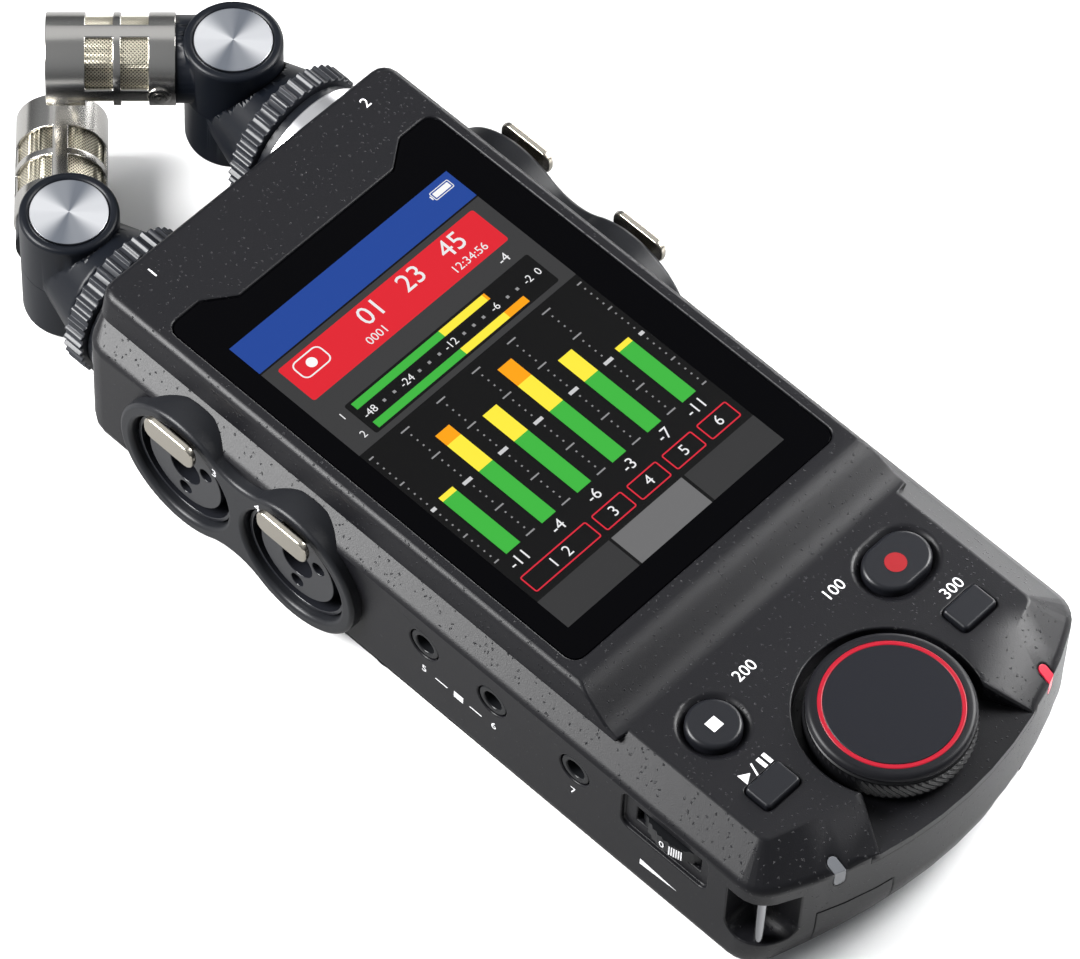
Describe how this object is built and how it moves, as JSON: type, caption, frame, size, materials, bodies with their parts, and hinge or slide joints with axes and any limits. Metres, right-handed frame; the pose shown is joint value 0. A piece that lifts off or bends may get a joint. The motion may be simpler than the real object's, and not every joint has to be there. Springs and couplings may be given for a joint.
{
  "type": "handheld digital recorder",
  "caption": "Handheld audio recorder with a large display, a jog dial, locking plug jacks in both sides and a pair of swivelling microphones on its end.",
  "frame": {"origin": "mouth of the tripod thread on the back, under the middle of the display", "axes": "+X to the right, +Y towards the microphones, +Z out of the display"},
  "size_m": [0.0824, 0.2059, 0.0376],
  "materials": {
    "case": "fine grained satin",
    "dark_plastic": "satin",
    "cover_glass": "polished",
    "display": "lit picture",
    "board": "solder mask",
    "alloy": "spun",
    "nickel": "nickel plated",
    "arm_paint": "satin",
    "mesh": "woven",
    "light_red": "lit",
    "window": "clear",
    "cell_wrap": "film wrap"
  },
  "bodies": {
    "recorder": {"bottom_case": "case", "top_cover": "case", "display_glass": "cover_glass", "lcd_module": "display", "main_board": "board", "input_board": "board", "tripod_bush": "alloy", "battery_holder": "dark_plastic", "batteries": "cell_wrap", "battery_contacts": "nickel", "speaker": "dark_plastic", "left_jack_surround": "case", "right_jack_surround": "case", "left_jack_rear": "dark_plastic", "left_jack_front": "dark_plastic", "right_jack_rear": "dark_plastic", "right_jack_front": "dark_plastic", "mini_jacks": "dark_plastic", "volume_pot": "nickel", "dial_encoder": "nickel", "tact_switches": "nickel", "peak_window": "window", "record_window": "light_red", "strap_post": "nickel", "card_socket": "nickel", "usb_port": "nickel", "case_screws": "nickel", "mic_sockets": "alloy", "hinge_pins": "nickel", "base_discs": "alloy", "left_base_arm": "arm_paint", "right_base_arm": "arm_paint"},
    "left_latch_rear": {"left_latch_rear": "nickel"},
    "left_latch_front": {"left_latch_front": "nickel"},
    "right_latch_rear": {"right_latch_rear": "nickel"},
    "right_latch_front": {"right_latch_front": "nickel"},
    "volume_wheel": {"volume_wheel": "dark_plastic"},
    "dial": {"dial_knob": "dark_plastic", "dial_light_ring": "light_red", "dial_shaft": "nickel"},
    "record_button": {"record_button": "dark_plastic"},
    "stop_button": {"stop_button": "dark_plastic"},
    "play_button": {"play_button": "dark_plastic"},
    "mark_button": {"mark_button": "dark_plastic"},
    "battery_cover": {"battery_cover": "case"},
    "card_door": {"card_door": "case"},
    "power_switch": {"power_switch": "dark_plastic"},
    "left_lock_ring": {"left_lock_ring": "dark_plastic"},
    "right_lock_ring": {"right_lock_ring": "dark_plastic"},
    "left_microphone": {"left_swivel_arm": "arm_paint", "left_swivel_disc": "alloy", "left_capsule_shell": "nickel", "left_capsule_mesh": "mesh", "left_mic_element": "dark_plastic"},
    "right_microphone": {"right_swivel_arm": "arm_paint", "right_swivel_disc": "alloy", "right_capsule_shell": "nickel", "right_capsule_mesh": "mesh", "right_mic_element": "dark_plastic"}
  },
  "joints": [
    {"name": "left_rear_latch_push", "type": "slide", "parent": "recorder", "child": "left_latch_rear", "axis": [1, 0, 0], "range_m": [0, 0.001], "stiffness_N_per_m": 600, "springref_m": -0.0005},
    {"name": "left_front_latch_push", "type": "slide", "parent": "recorder", "child": "left_latch_front", "axis": [1, 0, 0], "range_m": [0, 0.001], "stiffness_N_per_m": 600, "springref_m": -0.0005},
    {"name": "right_rear_latch_push", "type": "slide", "parent": "recorder", "child": "right_latch_rear", "axis": [-1, 0, 0], "range_m": [0, 0.001], "stiffness_N_per_m": 600, "springref_m": -0.0005},
    {"name": "right_front_latch_push", "type": "slide", "parent": "recorder", "child": "right_latch_front", "axis": [-1, 0, 0], "range_m": [0, 0.001], "stiffness_N_per_m": 600, "springref_m": -0.0005},
    {"name": "record_press", "type": "slide", "parent": "recorder", "child": "record_button", "axis": [0, 0, -1], "range_m": [0, 0.0006], "stiffness_N_per_m": 900, "springref_m": -0.0004},
    {"name": "stop_press", "type": "slide", "parent": "recorder", "child": "stop_button", "axis": [0, 0, -1], "range_m": [0, 0.0006], "stiffness_N_per_m": 900, "springref_m": -0.0004},
    {"name": "play_press", "type": "slide", "parent": "recorder", "child": "play_button", "axis": [0, 0, -1], "range_m": [0, 0.0006], "stiffness_N_per_m": 900, "springref_m": -0.0004},
    {"name": "mark_press", "type": "slide", "parent": "recorder", "child": "mark_button", "axis": [0, 0, -1], "range_m": [0, 0.0006], "stiffness_N_per_m": 900, "springref_m": -0.0004},
    {"name": "dial_turn", "type": "hinge", "parent": "recorder", "child": "dial", "pos_m": [0, -0.0806, 0.028], "axis": [0, 0, 1], "continuous": true},
    {"name": "volume_turn", "type": "hinge", "parent": "recorder", "child": "volume_wheel", "pos_m": [-0.0283, -0.0683, 0.0193], "axis": [0, 0, 1], "range_deg": [0, 270]},
    {"name": "battery_cover_slide", "type": "slide", "parent": "recorder", "child": "battery_cover", "axis": [0, -1, 0], "range_m": [0, 0.008]},
    {"name": "card_door_swing", "type": "hinge", "parent": "recorder", "child": "card_door", "pos_m": [-0.0272, -0.0915, 0.0103], "axis": [0, 0, -1], "range_deg": [0, 95]},
    {"name": "power_slide", "type": "slide", "parent": "recorder", "child": "power_switch", "axis": [0, 1, 0], "range_m": [-0.0015, 0.0015]},
    {"name": "left_ring_turn", "type": "hinge", "parent": "recorder", "child": "left_lock_ring", "pos_m": [-0.01875, 0.06675, 0.0096], "axis": [0, 1, 0], "range_deg": [0, 60]},
    {"name": "right_ring_turn", "type": "hinge", "parent": "recorder", "child": "right_lock_ring", "pos_m": [0.01875, 0.06675, 0.018], "axis": [0, 1, 0], "range_deg": [0, 60]},
    {"name": "left_microphone_swivel", "type": "hinge", "parent": "recorder", "child": "left_microphone", "pos_m": [-0.01875, 0.0804, 0.0096], "axis": [0, 0, 1], "range_deg": [0, 90]},
    {"name": "right_microphone_swivel", "type": "hinge", "parent": "recorder", "child": "right_microphone", "pos_m": [0.01875, 0.0804, 0.018], "axis": [0, 0, -1], "range_deg": [0, 90]}
  ]
}
